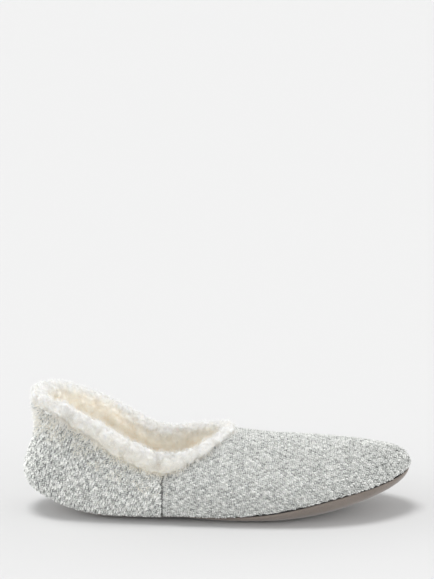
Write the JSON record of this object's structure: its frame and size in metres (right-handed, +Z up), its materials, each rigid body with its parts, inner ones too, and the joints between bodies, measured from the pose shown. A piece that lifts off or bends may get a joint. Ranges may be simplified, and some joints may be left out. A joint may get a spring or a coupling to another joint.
{
  "type": "knitted slipper",
  "caption": "Low ballet-style knitted slipper for the right foot: hollow knit upper, soft folded-up sole, insole and a fleece roll round the collar.",
  "frame": {"origin": "on the floor under the centre of the slipper's bounding box", "axes": "+X from heel to toe, +Y towards the big toe side, +Z up from the floor"},
  "size_m": [0.25, 0.0888, 0.0799],
  "materials": {
    "suede": "soft brushed nap, matte taupe",
    "footbed": "short cream pile over foam",
    "knit": "light grey marl knit, matte",
    "fleece": "cream curly fleece with short soft locks"
  },
  "bodies": {
    "root": {"outsole": "suede", "insole": "footbed", "upper": "knit", "collar_fleece": "fleece"}
  },
  "joints": []
}
